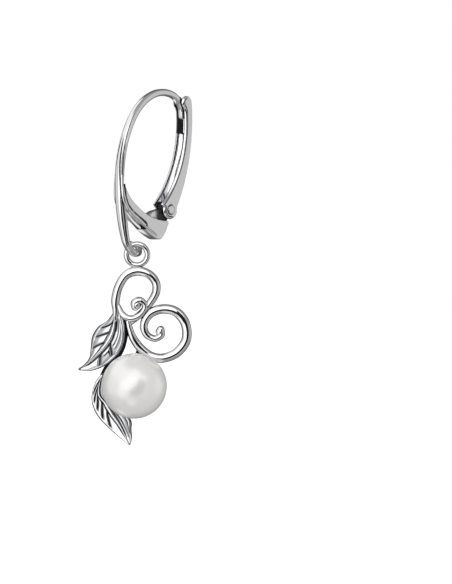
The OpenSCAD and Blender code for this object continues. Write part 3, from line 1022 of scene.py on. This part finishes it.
@dataclass
class DropCasting(SubAssembly):
    """Hanging ring, two scroll wires, small curl, stem, two leaves and cup, cast in one.

    A wire's rows give right, up, front, width and depth. The leaves' rows are those of Leaf.
    The drop hangs from hang, turned by twist and leaning by lean degrees.
    """

    body = Body.DROP
    slot = Slot.OXIDISED
    hang: Point3 = (0.28, -4.52, -15.73)
    twist: float = 40.0
    lean: float = 3.8
    ring_r: float = 1.11
    ring_wire: float = 0.58
    upper: Sequence[Row] = (
        (-2.3, -8.0, 0, 0.5, 0.7), (-2.22, -7.0, 0, 0.7, 0.9), (-2.27, -5.9, 0, 0.86, 1),
        (-1.93, -4.5, 0, 0.86, 1), (-1.15, -3.3, 0, 0.86, 1), (0.0, -2.84, 0, 0.96, 1),
        (1.2, -3.15, 0, 0.86, 1), (1.96, -4.0, 0, 0.84, 1), (2.0, -5.1, 0, 0.82, 1),
        (1.4, -6.2, -0.05, 0.76, 0.96), (0.5, -7.3, -0.1, 0.74, 0.94), (-0.6, -8.15, -0.1, 0.74, 0.94))
    curl: Sequence[Row] = (
        (-1.95, -6.55, 0.05, 0.42, 0.7), (-1.55, -7.4, 0.12, 0.64, 0.8), (-0.8, -7.88, 0.15, 0.7, 0.86),
        (0.1, -7.65, 0.15, 0.66, 0.86), (0.72, -7.0, 0.15, 0.6, 0.86), (0.8, -6.35, 0.15, 0.62, 0.86),
        (0.3, -5.95, 0.15, 0.72, 0.9), (-0.22, -6.2, 0.15, 0.8, 0.94), (-0.2, -6.65, 0.15, 0.74, 0.9))
    lower: Sequence[Row] = (
        (-0.95, -8.1, 0, 0.6, 0.9), (-0.78, -8.9, 0, 0.66, 0.92), (-0.4, -9.95, 0, 0.8, 0.94),
        (0.4, -11.05, 0, 0.9, 0.96), (1.45, -11.85, 0, 0.92, 0.98), (2.75, -12.07, 0, 0.94, 1),
        (4.25, -11.45, 0, 0.98, 1), (5.2, -10.1, 0, 0.98, 1), (5.1, -8.4, 0, 0.98, 1),
        (4.15, -7.2, 0, 0.98, 1), (2.75, -6.87, 0, 0.96, 1), (1.4, -7.35, 0, 0.92, 1),
        (0.72, -8.5, 0, 0.82, 0.96), (1.0, -9.55, 0, 0.74, 0.92), (1.85, -10.0, 0, 0.68, 0.9),
        (2.55, -9.65, 0, 0.7, 0.9), (2.5, -9.05, 0, 0.8, 0.94))
    stem: Sequence[Row] = (
        (-1.0, -8.2, -0.15, 0.76, 0.8), (-1.22, -9.4, -0.25, 0.62, 0.76), (-1.5, -10.8, -0.35, 0.56, 0.7),
        (-2.05, -11.8, -0.42, 0.66, 0.7), (-2.8, -12.6, -0.48, 0.66, 0.68), (-3.5, -13.6, -0.5, 0.5, 0.6),
        (-3.85, -14.6, -0.5, 0.46, 0.56), (-3.8, -15.8, -0.5, 0.46, 0.5))
    side_rib: Sequence[Row] = (
        (-2.0, -6.9, 0.12, 0.2, 0.3), (-1.8, -7.8, 0.18, 0.26, 0.36), (-1.56, -9.1, 0.2, 0.28, 0.4),
        (-1.68, -10.4, 0.2, 0.28, 0.4), (-2.24, -11.45, 0.18, 0.28, 0.36), (-2.75, -12.1, 0.08, 0.2, 0.3))
    side_arm: Sequence[Row] = (
        (-3.75, -14.95, -0.55, 0.6, 0.6), (-3.2, -14.92, -0.72, 0.6, 0.6),
        (-2.5, -14.88, -1.1, 0.64, 0.6), (-1.7, -14.85, -1.42, 0.7, 0.6))
    top_arm: Sequence[Row] = (
        (0.35, -10.95, -0.05, 0.6, 0.6), (0.15, -11.6, -0.4, 0.62, 0.6),
        (-0.1, -12.3, -0.95, 0.64, 0.6), (-0.2, -13.2, -1.42, 0.7, 0.6))
    upper_leaf: Sequence[Row] = (
        (-2.55, -7.3, -2.42, -6.9, -1.95, -6.8), (-3.2, -8.15, -2.38, -8.0, -1.35, -8.2),
        (-4.15, -8.8, -2.55, -9.2, -1.25, -9.7), (-4.75, -9.8, -3.0, -10.2, -1.6, -11.1),
        (-4.9, -10.9, -3.75, -11.15, -2.4, -12.1), (-5.05, -12.0, -4.75, -12.15, -3.55, -12.95),
        (-5.6, -12.75, -5.5, -12.8, -4.9, -13.4), (-6.25, -13.2, -6.22, -13.22, -6.1, -13.35))
    lower_leaf: Sequence[Row] = (
        (-3.62, -13.6, -3.55, -13.65, -3.4, -13.6), (-4.4, -14.6, -4.0, -14.8, -3.25, -14.4),
        (-4.82, -16.1, -4.05, -16.0, -3.05, -15.9), (-4.65, -17.3, -3.4, -16.8, -2.35, -17.2),
        (-4.05, -18.4, -2.75, -17.9, -0.72, -18.6), (-3.1, -19.4, -1.95, -19.0, -0.6, -19.7),
        (-1.95, -20.4, -1.3, -20.2, -0.55, -20.6), (-0.95, -21.25, -0.85, -21.25, -0.7, -21.25))
    pearl_centre: Point3 = (-0.27, -2.1, -14.85)
    pearl_r: float = 3.45
    cup_r: float = 1.9
    cup_back: float = 1.75
    cup_t: float = 0.85
    cup_lip: Point2 = (0.05, 0.06)
    cup_bevel: float = 0.1
    seat_gap: float = 0.04
    fuller: float = 1.06
    squareness: float = 2.15

    def matrix(self) -> Matrix:
        """The place of the drop under the bottom loop."""
        return (Matrix.Translation(self.hang) @ Matrix.Rotation(math.radians(self.twist), 4, "Z")
                @ Matrix.Rotation(math.radians(self.lean), 4, "X"))

    def scroll(self, name: str, tables: Sequence[Sequence[Row]], stands_for: Sequence[str] = (),
               steps: int = 12, ball: Optional[Row] = None, veil: float = 0.0) -> Object:
        """Sweeps scroll wires in the plane of the drop.

        Args:
            name: the object's name.
            tables: one table of right, up, front, width and depth for each wire.
            stands_for: CAD nodes that the piece replaces.
            steps: spans between two rows.
            ball: right, up, front and radius of a ball on the end.
            veil: tarnish all over.

        Returns:
            The object.
        """
        piece = Piece(name)
        if ball:
            bmesh.ops.create_uvsphere(piece.bm, u_segments=32, v_segments=20, radius=ball[3],
                                      matrix=Matrix.Translation((ball[0], -ball[2], ball[1])))
        for rows in tables:
            flat = [(r[0], -r[2], r[1], r[4], self.fuller * r[3], self.squareness)
                    for r in smooth_rows(rows, steps)]
            piece.wire(flat, Vector((0, 1, 0)), 26)
        piece.darken(lambda p: veil)
        piece.place(self.matrix())
        return self.done(piece, stands_for)

    def ring(self) -> Object:
        """Turns the hanging ring.

        Returns:
            The ring.
        """
        ring = Piece("hanging_ring")
        section = bmesh.ops.create_circle(ring.bm, segments=26, radius=self.ring_wire / 2)["verts"]
        bmesh.ops.translate(ring.bm, verts=section, vec=(self.ring_r, 0, 0))
        bmesh.ops.spin(ring.bm, geom=[*ring.bm.verts, *ring.bm.edges], cent=(0, 0, 0),
                       axis=(0, 1, 0), angle=FULL_TURN, steps=72, use_merge=True)
        ring.place(self.matrix() @ Matrix.Translation((0, 0, -self.ring_r)))
        return self.done(ring)

    def leaves(self) -> list[Leaf]:
        """The two leaves, of which the lower one is hatched towards its tip.

        Returns:
            The upper leaf and the lower one.
        """
        upper = Leaf(self.material, "upper_leaf", self.upper_leaf, 0.1, (0.15, 0.29, 0.45), (0.43, 0.6),
                     strips=((0.0, 0.35, 0.3, 0.2, 0.12), (0.1, 0.45, 0.48, 0.4, 0.05),
                             (0.05, 0.62, 0.5, 0.6, 0.05)))
        lower = Leaf(self.material, "lower_leaf", self.lower_leaf, -0.35,
                     (0.02, 0.13, 0.24, 0.36, 0.49), (), slope=0.3, width=0.028, veil=0.3,
                     outer=(0.0, 0.6), crown=(-0.05, 0.1), lobes=0.16, tilt=0.7, hatch=66,
                     strips=((0.0, 0.6, 0.5, 0.6, 0.3), (0.5, 0.3, 0.9, 0.62, 0.09),
                             (0.5, 0.65, 0.8, 0.85, 0.05)))
        return [upper, lower]

    def cup(self) -> Object:
        """Turns the dished cup behind the pearl.

        Returns:
            The cup.
        """
        cup = Piece("pearl_cup")
        seat = self.pearl_r + self.seat_gap
        rim = self.cup_t - self.cup_back
        dish = [(math.sin(a) * seat, -self.pearl_centre[1] - math.cos(a) * seat)
                for a in (math.asin(self.cup_r / seat) * k / 10 for k in range(11))]
        profile = [(NEAR_AXIS, dish[0][1]), *dish[1:-1], (self.cup_r - self.cup_lip[0], rim),
                   (self.cup_r, rim - self.cup_lip[1]), (self.cup_r, self.cup_bevel - self.cup_back),
                   (self.cup_r - self.cup_bevel, -self.cup_back), (NEAR_AXIS, -self.cup_back)]
        cup.turn([(r, -n, 0) for r, n in profile], (0, 1, 0), 64)
        cup.place(self.matrix() @ Matrix.Translation((self.pearl_centre[0], 0, self.pearl_centre[2])))
        return self.done(cup)

    def build(self) -> list[Object]:
        """Builds the casting.

        Returns:
            The objects, the first of which stands for the CAD node.
        """
        arms = [self.stem, self.side_arm, self.top_arm]
        made = [
            self.scroll("upper_scroll", [self.upper], ["drop_frame"]),
            self.scroll("small_curl", [self.curl], veil=0.15, ball=(-0.06, -6.42, 0.15, 0.5)),
            self.scroll("large_scroll", [self.lower], ball=(2.45, -9.27, 0, 0.5)),
            self.scroll("leaf_stem_and_arms", arms, steps=8, veil=0.95),
            self.ring(),
            self.scroll("leaf_side_rib", [self.side_rib], steps=10)]
        made += [leaf.build(self.matrix()) for leaf in self.leaves()]
        made.append(self.cup())
        return made


@dataclass
class Pearl(SubAssembly):
    """A round pearl, drilled from behind to bore_deep.

    mouth is how far under its radius the hole's straight wall has one more ring of corners.
    """

    body = Body.DROP
    slot = Slot.PEARL
    radius: float = 3.45
    bore: float = 0.44
    bore_deep: float = 2.2
    mouth: float = 0.3

    def build(self, casting: DropCasting) -> list[Object]:
        """Turns the pearl from its drilled hole to its front.

        Args:
            casting: the drop that carries it.

        Returns:
            The pearl.
        """
        pearl = Piece("drilled_pearl")
        start, end, steps = math.asin(self.bore / self.radius), math.pi - 1e-4, 72
        surface = [(self.radius * math.sin(a), self.radius * math.cos(a))
                   for a in (start + (end - start) * k / steps for k in range(steps + 1))]
        floor = self.radius - self.bore_deep
        profile = [(NEAR_AXIS, floor), (self.bore, floor), (self.bore, self.radius - self.mouth), *surface]
        pearl.turn([(r, y, 0) for r, y in profile], (0, 1, 0), 112)
        pearl.place(casting.matrix() @ Matrix.Translation(casting.pearl_centre))
        return [self.done(pearl, ["pearl"])]


# Tarnish and painted shade in the recesses


@dataclass
class RecessTarnishAndShade:
    """Darkens the recesses with painted shade found by occlusion, which also stands for the oxide left
    where a polishing wheel can't reach.

    From each place short rays go out, and the painted darkness grows between two shares of them
    that hit metal within the reach.
    """

    reach: float = 0.55
    rays: int = 24
    low: float = 0.26
    high: float = 0.62
    lift: float = 0.02

    def directions(self) -> list[Vector]:
        """Even directions over a half sphere about +Z.

        Returns:
            One direction for each ray.
        """
        golden = math.pi * (3 - math.sqrt(5))
        out = []
        for k in range(self.rays):
            z = (k + 0.5) / self.rays
            r = math.sqrt(1 - z * z)
            out.append(Vector((r * math.cos(golden * k), r * math.sin(golden * k), z)))
        return out

    def paint(self, objects: Sequence[Object], also: Sequence[Object] = ()) -> None:
        """Raises the tarnish-and-shade attribute of each object in its recesses, painting shade there.

        Args:
            objects: the metal pieces of one casting, which shade each other.
            also: pieces that shade them and stay bright themselves.
        """
        points: list[Vector] = []
        polys: list[list[int]] = []
        for o in (*objects, *also):
            base = len(points)
            points += [v.co.copy() for v in o.data.vertices]
            polys += [[base + i for i in p.vertices] for p in o.data.polygons]
        tree = BVHTree.FromPolygons(points, polys)
        fan = self.directions()
        for o in objects:
            layer = o.data.attributes[TARNISH_AND_SHADE]
            for v in o.data.vertices:
                turn = v.normal.to_track_quat("Z", "Y")
                start = v.co + v.normal * (self.lift * MM)
                hits = sum(tree.ray_cast(start, turn @ d, self.reach * MM)[0] is not None for d in fan)
                dark = smoothstep(self.low, self.high, hits / self.rays)
                item = layer.data[v.index]
                item.value = min(1.0, max(item.value, dark))


# The studio


@dataclass(frozen=True)
class Panel:
    """A soft round patch of the light tent.

    right, up and front give its direction as seen from the camera. It has its level up to
    inner degrees from its middle, and fades out up to outer degrees.
    """

    right: float
    up: float
    front: float
    inner: float
    outer: float
    level: float


@dataclass
class Studio:
    """Camera, plain floor and a light tent that only reflections see.

    centre_right, centre_up and distance place the camera. field_mm is the height of the
    picture at target_mm, and base is the tent's level away from its panels.
    """

    azimuth: float = 40.0
    centre_right: float = 6.713
    centre_up: float = -20.785
    distance: float = 601.0
    target_mm: float = 600.0
    field_mm: float = 61.93
    sensor_mm: float = 36.0
    floor_z: float = -37.6
    floor_size: float = 3000.0
    floor_colour: tuple[float, float, float, float] = (0.86, 0.86, 0.86, 1)
    floor_glow: float = 0.35
    base: float = 0.5
    panels: Sequence[Panel] = (
        Panel(0.0, 0.03, 1, 36, 41, 0.01),
        Panel(-0.58, 0.58, 0.57, 55.5, 58.5, 1.45),
        Panel(0, 0, -1, 122, 130, 0.34),
        Panel(-0.65, 0.65, 0.4, 20, 32, 1.0),
        Panel(0.05, 0.76, 0.64, 10, 17, 1.2),
        Panel(0, 0, -1, 60, 86, 0.12),
        Panel(0.1, -1, 0.1, 20, 45, 0.3),
        Panel(-0.36, -0.74, -0.58, 6, 14, 0.9),
        Panel(-1, 0.05, 0.12, 14, 34, 0.7),
        Panel(0.54, 0.49, 0.68, 7, 13, 1.15),
        Panel(-0.42, -0.42, 0.8, 6, 12, 0.9),
        Panel(-0.7, -0.38, 0.6, 12, 20, 1.1),
        Panel(-0.12, -0.85, 0.5, 9, 17, 0.8),
        Panel(-0.72, 0.68, -0.1, 12, 28, 0.95),
        Panel(-0.48, 0.75, -0.43, 8, 20, 1.0),
        Panel(1, 0, -0.17, 12, 26, 0.58),
    )

    def axes(self) -> tuple[Vector, Vector]:
        """Right and towards the camera, as seen in the photo."""
        a = math.radians(self.azimuth)
        return Vector((math.cos(a), math.sin(a), 0)), Vector((math.sin(a), -math.cos(a), 0))

    def camera(self) -> None:
        """Places the camera at the photograph's viewing angle."""
        right, front = self.axes()
        data = bpy.data.cameras.new("camera")
        data.sensor_fit = "VERTICAL"
        data.sensor_height = self.sensor_mm
        data.lens = self.sensor_mm * self.target_mm / self.field_mm
        data.clip_start, data.clip_end = 0.05, 10.0
        cam = bpy.data.objects.new("camera", data)
        place = right * self.centre_right + front * self.distance + Vector((0, 0, self.centre_up))
        cam.location = place * MM
        cam.rotation_mode = "QUATERNION"
        cam.rotation_quaternion = (-front).to_track_quat("-Z", "Y")
        bpy.context.scene.collection.objects.link(cam)
        bpy.context.scene.camera = cam

    def world(self) -> None:
        """Builds the light tent as the world's shader, plain white for all but glossy rays."""
        right, front = self.axes()
        world = bpy.data.worlds.new("light_tent")
        bpy.context.scene.world = world
        world.use_nodes = True
        tree = world.node_tree
        coords = add_node(tree, "ShaderNodeTexCoord", {}).outputs["Generated"]
        base = add_node(tree, "ShaderNodeValue", {})
        base.outputs[0].default_value = self.base
        value = base.outputs[0]
        for p in self.panels:
            way = (right * p.right + front * p.front + Vector((0, 0, p.up))).normalized()
            dot = add_node(tree, "ShaderNodeVectorMath", {0: coords, 1: way}, operation="DOT_PRODUCT")
            edge = add_node(tree, "ShaderNodeMapRange", {
                "Value": dot.outputs["Value"], "From Min": math.cos(math.radians(p.outer)),
                "From Max": math.cos(math.radians(p.inner))}, interpolation_type="SMOOTHSTEP")
            value = add_node(tree, "ShaderNodeMix", {
                "Factor": edge.outputs["Result"], "A": value, "B": p.level},
                data_type="FLOAT").outputs["Result"]
        seen = add_node(tree, "ShaderNodeLightPath", {}).outputs["Is Glossy Ray"]
        pick = add_node(tree, "ShaderNodeMix", {"Factor": seen, "A": 1.0, "B": value}, data_type="FLOAT")
        feed(tree.nodes["Background"], {"Color": (1, 1, 1, 1), "Strength": pick.outputs["Result"]})

    def floor(self) -> None:
        """A plain pale floor just under the drop."""
        bm = bmesh.new()
        bmesh.ops.create_grid(bm, x_segments=1, y_segments=1, size=self.floor_size * MM)
        bmesh.ops.translate(bm, verts=bm.verts, vec=(0, 0, self.floor_z * MM))
        mesh = bpy.data.meshes.new("floor")
        bm.to_mesh(mesh)
        bm.free()
        mat, shader = new_material("floor_white")
        feed(shader, {"Base Color": self.floor_colour, "Roughness": 0.9, "Specular IOR Level": 0.0,
                      "Emission Color": (1, 1, 1, 1), "Emission Strength": self.floor_glow})
        mesh.materials.append(mat)
        made = bpy.data.objects.new("floor", mesh)
        made.visible_glossy = made.visible_diffuse = False
        bpy.context.scene.collection.objects.link(made)

    def build(self) -> None:
        """Builds the studio and sets a plain view of it."""
        self.camera()
        self.world()
        self.floor()
        scene = bpy.context.scene
        scene.view_settings.view_transform = "Standard"
        scene.view_settings.look = "None"


# The whole


def main() -> None:
    """Builds the sub-assemblies in order and reports each piece."""
    logging.basicConfig(level=logging.INFO, format="%(name)s: %(message)s")
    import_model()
    polished = SilverFinish("polished_silver_hook").material()
    oxidised = SilverFinish("oxidised_silver_drop", roughness=0.06).material()
    hook = HookCasting(polished).build() + HingeRivet(polished).build()
    lever = ClaspLever(polished).build()
    casting = DropCasting(oxidised)
    drop = casting.build()
    Pearl(PearlFinish().material()).build(casting)
    # Painted shade in the hook's recesses and where the lever shades it.
    RecessTarnishAndShade(reach=0.4).paint([o for o in hook if o.name != "stem_side_ribs"], lever)
    # Oxide and painted shade in the drop's recesses.
    RecessTarnishAndShade().paint(drop)
    Studio().build()


if __name__ == "__main__":
    main()
